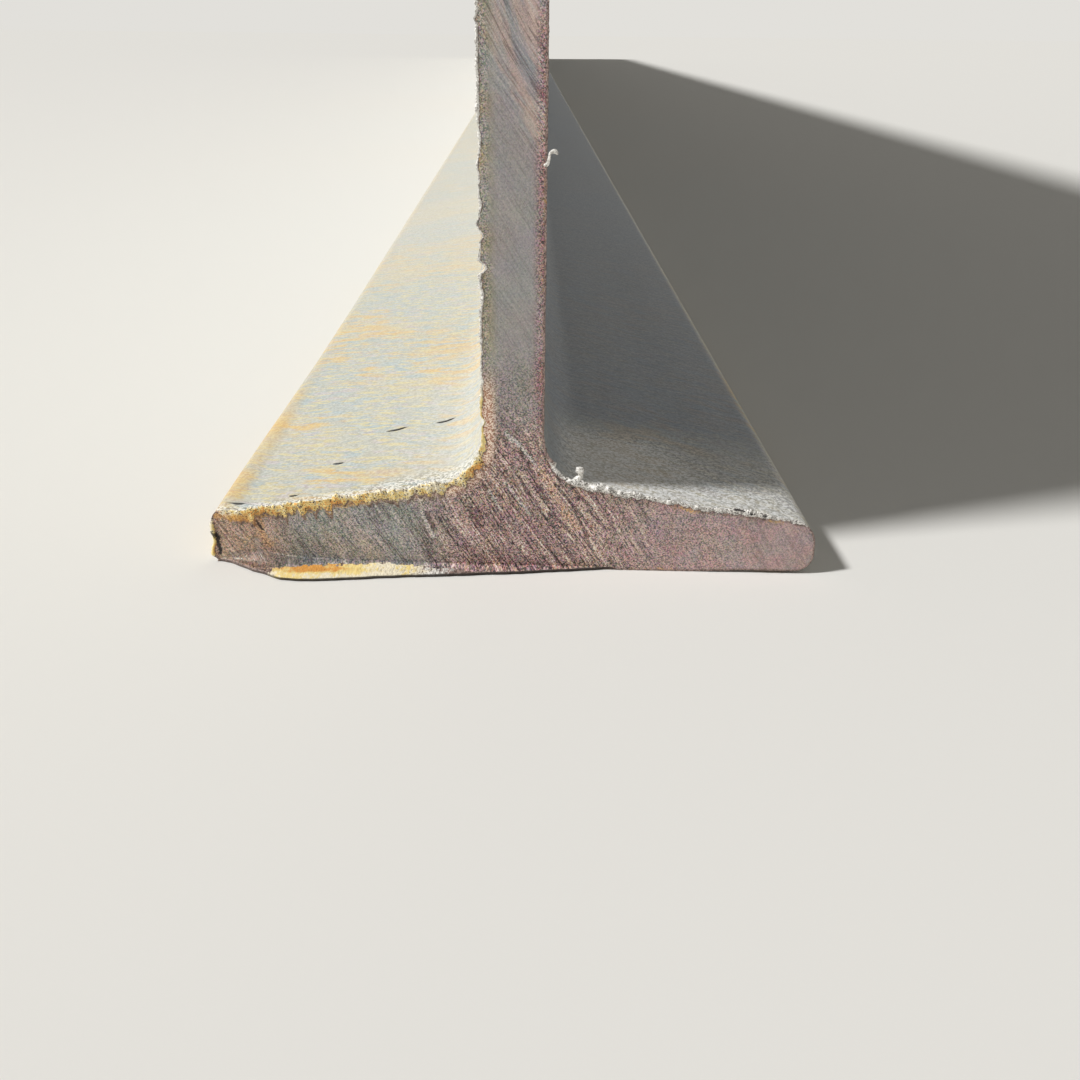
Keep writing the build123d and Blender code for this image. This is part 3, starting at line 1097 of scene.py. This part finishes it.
millScale = {
    "colours": {
        "pale": (199, 192, 171), "cool": (184, 189, 184), "blue": (174, 187, 190),
        "lilac": (197, 188, 190), "yellow": (214, 202, 154), "ochre": (220, 186, 120),
        "white": (208, 206, 197), "bareWhite": (222, 219, 213), "sparkle": (240, 237, 228),
        "speck": (92, 78, 62), "gap": (38, 36, 38), "outerPale": (172, 177, 173),
        "outerBlue": (158, 167, 169), "outerRust": (200, 164, 108), "outerBrown": (150, 108, 70),
        "shadeBlue": (104, 113, 126),
    },
    "slant": -20,  # degrees that the marks turn from straight across the bar
    "markStretch": (1, 0.28, 0.5),
    "markScales": {"large": 60.0, "medium": 95.0, "small": 150.0},
    "markBend": 0.008,
    "grainSize": 0.0006,
    "rustPatch": 25.0,
    "grit": (0.50, 0.18),  # what the right end adds to the rest
    "relief": (0.7, 0.3),  # of marks and grain
    "roughness": (0.45, 0.65),
    "bump": 0.00030,
    "attributes": ("rim", "dark"),
    "noises": {"weather": (3.5, 3), "patch": (11, 3), "cluster": (24, 3, 0.6)},
    "masks": {
        "plainer": [("rim", 0.55, 0.18, 0.4, 1.0)],  # the marks are fainter far from the cut
        "smallStripes": [("large", 0.50, 0.58), ("cluster", 0.42, 0.58)],
        "wideStripes": [("weather", 0.50, 0.58), ("large", 0.44, 0.54), ("rim", 0.05, 0.15)],
        "rightEnd": [("x", 0.008, 0.020), ("y", -2.93, -2.97), ("patch", 0.3, 0.6, 0.5, 0.9)],
        "outerFace": [("height", depth / 2 - 0.004, depth / 2 - 0.001)],
        "onWeb": [("side", 0.022, 0.010), ("height", depth / 2 - 0.04, depth / 2 - 0.10)],
        "edgeWidth": [("x", -0.050, -0.022, 0.0065, 0.014)],
        "rusted": [("rim", 0.004, 0.0, 0.10, 0.30)],
    },
    "tones": {
        "outer": [
            "outerPale",
            ("outerBlue", ("patch", 0.40, 0.60)),
            ("outerRust", ("weather", 0.45, 0.62), ("large", 0.46, 0.54), 0.85),
            ("outerBrown", ("weather", 0.50, 0.62), ("small", 0.55, 0.66), 0.7),
        ],
        # ochre stripes come in clusters, small ones and, away from the cut, wide ones; one more runs along
        # the left toe; the root fillets are whiter; outer faces and web sides are greyer, with clusters of
        # rust stripes; the right channel is darker blue-grey, partly its scale and partly painted shade
        "all": [
            "pale",
            ("cool", ("patch", 0.42, 0.58)),
            ("cool", ("weather", 0.46, 0.60, 0, 0.6)),
            ("blue", ("large", 0.46, 0.38, 0, 0.85), "plainer"),
            ("lilac", ("medium", 0.54, 0.61, 0, 0.7)),
            ("yellow", ("small", 0.52, 0.59, 0, 0.78), "plainer"),
            ("ochre", ["smallStripes", "wideStripes"], ("rim", 0.30, 0.07, 0.65, 1.0), "plainer", 0.85),
            ("white", ("rim", 0.14, 0.50, 0, 0.4)),
            ("white", ("mediumThin", 0.53, 0.64, 0, 0.5)),
            (
                "ochre", ("x", -0.0728, -0.0770), ("cluster", 0.34, 0.52, 0.35, 0.9),
                ("rim", 0.17, 0.05, 0.2, 1.0), 0.8,
            ),
            ("white", ("side", 0.040, 0.014, 0, 0.45), ("rim", 0.16, 0.06, 0.3, 1.0)),
            ("bareWhite", "rightEnd"),
            ("outer", ["outerFace", "onWeb"], 0.85),
            # right channel behind its near strip: darker blue-grey, partly scale and partly painted shade
            ("shadeBlue", ("x", 0.004, 0.012), ("x", 0.0795, 0.0760), "not rightEnd", "not outerFace", 0.85),
        ],
    },
    "last": [
        ("sparkle", "edge", ("fleck", 0.45, 0.70)),
        ("speck", "edge", ("fleck", 0.22, 0.12), 0.55),
        ("bloom", "bloom", 0.5),
        # painted shade in the laps' open fronts, and dark at the pits by the cut's right upper edge
        ("gap", "dark"),
    ],
}


def millScaleMaterial():
    # pale oxide with short marks across the bar: blue, lilac, yellow and ochre, each its own pattern
    s = millScale
    material, tree, shader = newMaterial("millScale")
    space = objectSpace(tree)
    given = findPatterns(tree, space, s)
    look = {"Turn": (0, 0, math.radians(s["slant"])), "Stretch": s["markStretch"], "Bend": s["markBend"]}
    for name, scale in s["markScales"].items():
        found = place(tree, marks, space, Scale=scale, **look)
        given[name], given[name + "Thin"] = found["Broad"], found["Thin"]
    given["side"] = calc(tree, "ABSOLUTE", given["x"])
    given["height"] = calc(tree, "ABSOLUTE", calc(tree, "SUBTRACT", given["z"], depth / 2))
    addMasks(tree, given, s["masks"])
    tones = mixTones(tree, given, s)
    addRust(tree, space, given, tones, given["rusted"], s["rustPatch"])
    # gritty strip behind the cut
    given["fromEdge"] = calc(tree, "DIVIDE", given["rim"], given["edgeWidth"])
    given["edge"] = product(tree, given, [("fromEdge", 1.0, 0.0), ("z", 0.10, 0.05), ("x", 0.0, -0.004)])
    gritty = scaled(tree, given["rightEnd"], *s["grit"])
    tone = mixColour(tree, gritty, tones["all"], given["fleck"], "OVERLAY")
    tone = paint(tree, given, tones, tone, s["last"])
    roughness = ranged(tree, given["mediumThin"], 0.3, 0.7, *s["roughness"])
    ofMarks, ofGrain = s["relief"]
    grainHeight = times(tree, given["grain"], ofGrain)
    height = calc(tree, "ADD", times(tree, given["medium"], ofMarks), grainHeight)
    finishShader(tree, shader, tone, roughness, 0.0, height, s["bump"])
    return material


# Single marks on the near cut, given one by one: mm from x and z, to x and z, and wide; share, tone

handMarks = {
    # the dark line from (-80.3, 8.0) to (-80.2, 2.6), just inside the left tip's fin, is painted shadow of
    # the fin
    "tip": [
        (-69.4, 12.4, -66.8, 5.8, 1.6, 0.45, "rustCore"), (-69.7, 6.7, -68.6, 0.6, 0.8, 0.35, "ash"),
        (-69.2, 12.2, -67.8, 9.9, 0.45, 0.9, "pitAndShade"), (-67.3, 6.2, -67.2, 5.8, 0.6, 0.7, "pitAndShade"),
        (-79.5, 13.6, -71.5, 13.2, 1.4, 0.5, "rustCore"), (-80.3, 8.0, -80.2, 2.6, 0.62, 0.95, "pitAndShade"),
        (-82.8, 9.2, -81.1, 8.0, 1.1, 0.9, "pitAndShade"),
    ],
    "saw": [
        (-2.0, 38.8, 1.8, 35.3, 0.7, 0.6, "ash"), (1.1, 36.4, 7.3, 28.2, 0.7, 0.6, "ash"),
        (1.6, 34.5, 5.0, 28.2, 0.6, 0.6, "dark"), (2.1, 27.5, 9.0, 17.2, 1.0, 0.45, "tan"),
        (1.7, 26.7, 5.2, 20.5, 0.6, 0.6, "dark"), (6.6, 23.9, 9.2, 19.4, 0.7, 0.5, "dark"),
        (7.1, 29.3, 12.4, 19.5, 1.5, 0.45, "salmon"), (8.3, 17.1, 12.0, 10.9, 0.6, 0.55, "tan"),
        (9.6, 15.2, 12.0, 10.8, 0.6, 0.5, "dark"), (-2.0, 24.9, 4.5, 16.1, 0.6, 0.5, "ash"),
        (14.9, 20.3, 21.5, 6.8, 0.6, 0.6, "dark"), (16.9, 21.2, 22.8, 12.2, 0.6, 0.6, "dark"),
        (17.8, 20.1, 24.3, 10.5, 0.6, 0.5, "tan"), (13.0, 18.5, 17.1, 12.0, 1.3, 0.5, "salmon"),
        (20.7, 9.0, 24.0, 3.6, 0.7, 0.5, "tan"), (-8.3, 25.3, -5.0, 19.8, 0.6, 0.55, "dark"),
        (-6.3, 22.5, -3.3, 17.1, 0.6, 0.5, "ash"), (-11.8, 19.1, -8.6, 14.3, 0.7, 0.5, "dark"),
        (-24.7, 16.2, -21.3, 8.5, 0.7, 0.6, "ash"), (-23.1, 15.7, -21.4, 11.5, 0.8, 0.6, "dark"),
        (-32.7, 16.9, -30.7, 12.8, 0.6, 0.5, "ash"),
    ],
    "crust": [
        (58.6, 18.7, 61.2, 18.2, 0.35, 0.95, "pitAndShade"), (62.9, 17.5, 63.2, 17.4, 0.5, 0.95, "pitAndShade"),
        (66.6, 16.9, 66.9, 16.8, 0.6, 0.95, "pitAndShade"), (50.5, 19.6, 53.5, 19.1, 0.3, 0.8, "pitAndShade"),
        (57.4, 19.0, 57.8, 18.9, 0.4, 0.8, "pitAndShade"),
    ],
}
waver = {"noise": (900, 3, 0.65), "widths": 3.2, "hidden": 100.0}


def nearWaver(tree, space):
    # waver of the listed marks, with many widths more at the far end to hide them there
    w = waver
    hide = times(tree, calc(tree, "GREATER_THAN", splitSpace(tree, space)[1], 0.0), w["hidden"])
    uneven = scaled(tree, noise(tree, space, *w["noise"]), w["widths"], -w["widths"] / 2)
    return calc(tree, "ADD", uneven, hide)


def addHandMarks(tree, tone, space, uneven, names, tones, strength=1.0):
    for name in names:
        for x0, z0, x1, z1, width, share, label in handMarks[name]:
            ends = {"Start": (x0 * mm, 0, z0 * mm), "End": (x1 * mm, 0, z1 * mm)}
            mark = place(tree, thinLine, space, Width=width * mm, Waver=uneven, **ends)
            tone = mixColour(tree, times(tree, mark["Mask"], share * strength), tone, tones[label])
    return tone


sawnSteel = {
    "colours": {
        "slate": (154, 154, 153), "green": (144, 149, 143), "brown": (166, 143, 132),
        "pink": (178, 150, 147), "tipBrown": (186, 156, 134), "root": (158, 134, 130),
        "mauve": (152, 120, 117), "olive": (160, 153, 134), "tan": (224, 200, 184), "ash": (196, 190, 184),
        "steely": (156, 156, 158), "webPink": (188, 168, 160), "webGrey": (162, 158, 155),
        "webLow": (148, 140, 136), "dark": (76, 62, 60), "pitAndShade": (30, 24, 26), "salmon": (206, 168, 144),
        "rosyLight": (254, 234, 214), "rosyDark": (180, 126, 100), "rustLight": (246, 196, 126),
        "rustDark": (150, 92, 50),
    },
    # long marks of the saw: lean in degrees, stretch along it, scale and bend
    "saw": (-34, 24, 440.0, 0.005),
    "sweep": (-26, 9, 240.0, 0.014),
    "grainSize": 0.00027,
    "blotches": {"Scale": 150.0, "Detail": 2.0},
    "blotchShare": 0.13,
    "markStrength": 1.35,
    "tintShare": 0.45,
    "metallic": (0.5, 0.15),  # what sparks add to the rest
    "relief": (0.5, 0.3),  # of saw lines and grain
    "rustPatch": 160.0,
    "roughness": (0.40, 0.62),
    "bump": 0.0004,
    "attributes": ("rim", "inner", "dark"),
    "noises": {"patch": (60, 3), "mottle": (170, 3, 0.6)},
    "webSlant": 1.57,  # the calm part of the web ends above along a slanting line, with a waver
    "webWaver": 0.016,
    # how much fainter the saw lines are in the web below and above that, to the right and to the left
    "calm": (-0.82, 0.35, -0.75, -0.40),
    "masks": {
        "inWeb": [("z", 0.031, 0.048)],
        "webTop": [("slanting", 0.119, 0.129)],
        "toRight": [("x", 0.018, 0.045)],
        "rightTip": [("x", 0.050, 0.074)],
        "toLeft": [("x", -0.010, -0.032)],
        "atTip": [("x", -0.056, -0.070)],
        "edgeLeft": [("x", -0.0032, -0.0058), ("mottle", 0.32, 0.60, 0.2, 1.0)],
        "edgeRight": [("x", 0.0040, 0.0074), ("mottle", 0.3, 0.6, 0.5, 1.0), ("z", 0.127, 0.140, 1, 0.3)],
        "leftOrWeb": [["toLeft", "inWeb"]],
        "awayFromRoot": [["toRight", "leftOrWeb"]],
        "calmCore": ["inWeb", ("rim", 0.0012, 0.0032), ("z", 0.044, 0.066)],
        "rightRim": ["inWeb", "edgeRight"],
        # rust: an ochre band under the left inner edge, strongest at the root, and a thin rim elsewhere
        "tipRust": ["atTip", 0.38],
        "onLeft": [("x", -0.004, -0.007), ("z", 0.060, 0.044)],
        "leftBand": [("inner", 0.0050, 0.0016), "onLeft", 0.80],
        "onRight": [("x", 0.030, 0.040), ("z", 0.060, 0.044)],
        "rightBand": [("inner", 0.0038, 0.0012), "onRight", 0.55],
        "rusted": [["leftBand", "rightBand", ("rim", 0.0022, 0.0003, 0.10, 0.42), "tipRust"]],
        "rosy": [("inner", 0.0056, 0.0020), ("x", -0.003, -0.006), ("z", 0.016, 0.024), ("z", 0.058, 0.046)],
    },
    "tones": {
        "left": ["green", ("slate", ("patch", 0.42, 0.58)), ("brown", ("sawBroad", 0.50, 0.62, 0, 0.3))],
        "right": ["pink", ("slate", ("mottle", 0.38, 0.62, 0, 0.45))],
        "upper": [
            "steely", ("webPink", ("sweepBroad", 0.38, 0.54)), ("tan", ("sweepBroad", 0.54, 0.66, 0, 0.5)),
        ],
        "calm": ["webLow", ("webGrey", ("z", 0.050, 0.062))],
        "web": ["calm", ("upper", "webTop"), ("olive", "edgeLeft"), ("mauve", "edgeRight")],
        "line": ["tan", ("ash", "leftOrWeb")],
        "rosy": ["rosyDark", ("rosyLight", ("fleck", 0.28, 0.72))],
        "rustCore": ["rustDark", ("rustLight", ("fleck", 0.28, 0.72))],
        # saw marks last: light and dark lines, strong round the root, soft to the left, faint elsewhere
        "all": [
            "root",
            ("brown", ("mottle", 0.4, 0.6)),
            ("left", "toLeft"),
            ("tipBrown", "atTip"),
            ("right", "toRight"),
            ("web", "inWeb"),
            ("line", ("sawThin", 0.51, 0.59), ("sawBroad", 0.40, 0.58), "strength"),
            ("dark", ("sawThin", 0.49, 0.41), ("sawBroad", 0.62, 0.42), "strength", 0.95),
        ],
    },
    # how much grain shows: at the root, and less or more by these shares elsewhere
    "flecks": 0.94,
    "fleckShares": {"awayFromRoot": -0.34, "rightTip": -0.30, "calmCore": -0.45, "rightRim": 0.16},
    "last": [("ash", "spark", "flecks", 0.8), ("bloom", "bloom", 0.75), ("rosy", "rosy")],
}


def sawnSteelMaterial():
    s = sawnSteel
    material, tree, shader = newMaterial("sawnSteel")
    space = cutSpace(tree)
    given = findPatterns(tree, space, s)
    for name in ("saw", "sweep"):
        lean, stretch, scale, bend = s[name]
        look = {"Turn": (0, math.radians(lean), 0), "Stretch": (1, 1, stretch), "Scale": scale, "Bend": bend}
        found = place(tree, marks, space, **look)
        given[name + "Broad"], given[name + "Thin"] = found["Broad"], found["Thin"]
    slanting = scaled(tree, given["x"], s["webSlant"], given["z"])
    given["slanting"] = scaled(tree, given["patch"], s["webWaver"], slanting)
    addMasks(tree, given, s["masks"])
    below, above, right, left = s["calm"]
    inWeb = scaled(tree, given["inWeb"], scaled(tree, given["webTop"], above, below), 1.0)
    toSides = (scaled(tree, given["toRight"], right, 1.0), scaled(tree, given["toLeft"], left, 1.0))
    given["strength"] = times(tree, inWeb, *toSides)
    tones = mixTones(tree, given, s)
    addRust(tree, space, given, tones, given["rusted"], s["rustPatch"])
    blotches = addNode(tree, "ShaderNodeTexNoise", dict(s["blotches"], Vector=space)).outputs["Color"]
    tone = mixColour(tree, s["blotchShare"], tones["all"], blotches, "SOFT_LIGHT")
    uneven = nearWaver(tree, space)
    tone = addHandMarks(tree, tone, space, uneven, ["saw"], tones, s["markStrength"])
    flecks = s["flecks"]
    for name, share in s["fleckShares"].items():
        flecks = scaled(tree, given[name], share, flecks)
    given["flecks"] = flecks
    tone = mixColour(tree, flecks, tone, given["fleck"], "OVERLAY")
    tone = mixColour(tree, times(tree, flecks, s["tintShare"]), tone, given["tint"], "SOFT_LIGHT")
    tone = paint(tree, given, tones, tone, s["last"])
    tone = addHandMarks(tree, tone, space, uneven, ["tip"], tones)
    # dark in the pits of the cut, and painted shade on the lip's upward-facing sawn part
    tone = mixColour(tree, given["dark"], tone, tones["pitAndShade"])
    roughness = ranged(tree, given["fleck"], 0.2, 0.8, *s["roughness"])
    metallic = scaled(tree, given["spark"], *s["metallic"])
    ofLines, ofGrain = s["relief"]
    lines = times(tree, calc(tree, "ADD", given["sawThin"], given["sawBroad"]), given["strength"])
    height = scaled(tree, lines, ofLines, times(tree, given["grain"], ofGrain))
    finishShader(tree, shader, tone, roughness, metallic, height, s["bump"])
    return material


burrSteel = {
    "colours": {
        "bright": (246, 243, 236), "grey": (186, 181, 175), "shade": (84, 78, 74),
        "orange": (228, 162, 80), "yellow": (250, 226, 150), "cream": (250, 240, 212),
        "brown": (92, 58, 34), "face": (170, 147, 138), "faceDark": (92, 76, 70), "pitAndShade": (30, 24, 26),
        "rustCore": (226, 158, 76), "ash": (196, 190, 184), "paintedShade": (40, 30, 24),
    },
    "streaks": {"Stretch": (10, 1, 1), "Scale": 450.0, "Bend": 0.002},
    "streakShare": 1.2,  # how much the rust follows them, then a slow noise, then crumbs
    "driftShare": 1.5,
    "crumbShare": (2.4, 0.2),  # more where it is crumbly, and the least anywhere
    "faceCrumbs": 2.0,
    "metallic": (0.1, 0.4),
    "grainSize": 0.00035,
    "roughness": (0.35, 0.55),
    "bump": 0.00025,
    "attributes": ("rusty", "facelike", "crumbly", "dark"),
    "noises": {"crumbs": (1500, 2, 0.7), "fineCrumbs": (2400, 1), "drift": (160, 2)},
    "tones": {
        "bare": ["grey", ("bright", ("fleck", 0.1, 0.5))],
        "warm": ["cream", ("yellow", ("uneven", 0.20, 0.50)), ("orange", ("uneven", 0.55, 1.0))],
        "crumb": ["shade", ("brown", ("rusty", 0.0, 0.15))],
        "sawn": ["faceDark", ("face", "fleck")],
        "all": [
            "bare",
            ("warm", ("rusty", 0.02, 0.18)),
            ("crumb", [("crumbs", 0.42, 0.35), ("fineCrumbs", 0.40, 0.32)], ("crumbly", 0.2, 0.9)),
            ("sawn", ("unevenFace", 0.35, 0.65), ("facelike", 0.0, 0.2)),
        ],
    },
}


def burrSteelMaterial():
    s = burrSteel
    material, tree, shader = newMaterial("burrSteel")
    space = cutSpace(tree)
    given = findPatterns(tree, space, s)
    # how rusty it looks: the given share, made uneven by streaks, slowly along the edge and by crumbs
    streaks = place(tree, marks, space, **s["streaks"])["Broad"]
    uneven = swung(tree, given["rusty"], streaks, s["streakShare"])
    uneven = swung(tree, uneven, given["drift"], s["driftShare"])
    crumbShare = scaled(tree, given["crumbly"], *s["crumbShare"])
    given["uneven"] = swung(tree, uneven, given["crumbs"], crumbShare)
    given["unevenFace"] = swung(tree, given["facelike"], given["crumbs"], s["faceCrumbs"])
    tones = mixTones(tree, given, s)
    tone = addHandMarks(tree, tones["all"], space, nearWaver(tree, space), ["tip", "crust"], tones)
    # painted shade carried by the lip's dark attribute: under its front edge and over its upward-facing part
    tone = mixColour(tree, given["dark"], tone, tones["paintedShade"])
    roughness = ranged(tree, given["fleck"], 0.2, 0.8, *s["roughness"])
    metallic = ranged(tree, given["spark"], 0.0, 1.0, *s["metallic"])
    height = calc(tree, "ADD", given["grain"], times(tree, given["crumbs"], given["crumbly"]))
    finishShader(tree, shader, tone, roughness, metallic, height, s["bump"])
    return material


scaleFinish = millScaleMaterial()
sawnFinish = sawnSteelMaterial()
burrFinish = burrSteelMaterial()
bar = buildSkin([scaleFinish, sawnFinish])
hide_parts("i_beam")
addPiece(bar)
buildBurr("nearBurr", burrFinish, False, 101)
buildBurr("farBurr", burrFinish, True, 301)
buildLip([burrFinish, sawnFinish])
for number, name in enumerate(("webCurl", "rootTooth")):
    buildSwarf(name, swarf[name], burrFinish, 500 + number)
buildLaps(scaleFinish)
print("bar finished")


# Floor, light and camera

studio = {
    "floor": colour(231, 229, 224),
    "floorSize": 80.0,
    "keyFrom": 15.4,  # degrees in front of the bar's left side
    "keyHeight": 45.0,  # degrees above the floor
    "keySpread": 7.0,  # degrees across, the softness of its shadows
    "keyLevel": 0.73,  # share of full brightness that it gives the floor
    "sky": 0.22,
}


def buildFloor():
    # a flat grid, its height zero everywhere
    span = studio["floorSize"]
    line = np.linspace(-span / 2, span / 2, 13)
    gridX, gridY = np.meshgrid(line, line, indexing="ij")
    points = np.stack([gridX, gridY, np.zeros_like(gridX)], -1).reshape(-1, 3)
    material, tree, shader = newMaterial("paleFloor")
    wire(tree, shader.inputs, {"Base Color": studio["floor"], "Roughness": 0.9, "Specular IOR Level": 0.0})
    floor = makeMesh("studioFloor", points, gridQuads(13, 13)[:, ::-1], [material])


def buildLight():
    side, height = math.radians(studio["keyFrom"]), math.radians(studio["keyHeight"])
    flat = math.cos(height)
    towards = Vector((-math.cos(side) * flat, -math.sin(side) * flat, math.sin(height)))
    lamp = bpy.data.lights.new("keyLight", "SUN")
    lamp.energy = math.pi * studio["keyLevel"] / math.sin(height)
    lamp.angle = math.radians(studio["keySpread"])
    holder = bpy.data.objects.new("keyLight", lamp)
    holder.rotation_euler = towards.to_track_quat("Z", "Y").to_euler()
    scene.collection.objects.link(holder)


def buildWorld():
    # gives a soft fill, and looks like the far floor where the camera or a reflection sees it
    world = bpy.data.worlds.new("studioSky")
    world.use_nodes = True
    tree = world.node_tree
    background = tree.nodes["Background"]
    path = addNode(tree, "ShaderNodeLightPath")
    seen = calc(tree, "MAXIMUM", path.outputs["Is Camera Ray"], path.outputs["Is Glossy Ray"])
    brightest = max(studio["floor"][:3])
    background.inputs["Color"].default_value = tuple(c / brightest for c in studio["floor"][:3]) + (1.0,)
    level = brightest * (studio["keyLevel"] + studio["sky"])
    strength = scaled(tree, seen, level - studio["sky"], studio["sky"])
    tree.links.new(strength, background.inputs["Strength"])
    scene.world = world


view = {
    "frameSize": 1080,  # pixels of the photo's frame
    "focalPixels": 1077.5,
    "place": (0.00304, -0.26319, 0.13259),  # from the near cut's middle, on the floor
    "down": 25.267,  # degrees
    "right": 0.925,
    "roll": 0.631,
}


def buildCamera():
    data = bpy.data.cameras.new("photoCamera")
    data.sensor_width = 36
    data.lens = 36 * view["focalPixels"] / view["frameSize"]
    data.clip_start = 0.01
    data.clip_end = 200
    camera = bpy.data.objects.new("photoCamera", data)
    turn = Matrix.Rotation(-math.radians(view["right"]), 4, "Z")
    turn = turn @ Matrix.Rotation(math.radians(90 - view["down"]), 4, "X")
    turn = turn @ Matrix.Rotation(math.radians(view["roll"]), 4, "Z")
    origin = Vector((0, nearCut(0), 0))
    camera.matrix_world = Matrix.Translation(origin + Vector(view["place"])) @ turn
    scene.collection.objects.link(camera)
    scene.camera = camera


buildFloor()
buildLight()
buildWorld()
buildCamera()
scene.view_settings.view_transform = "Standard"
print("studio finished")
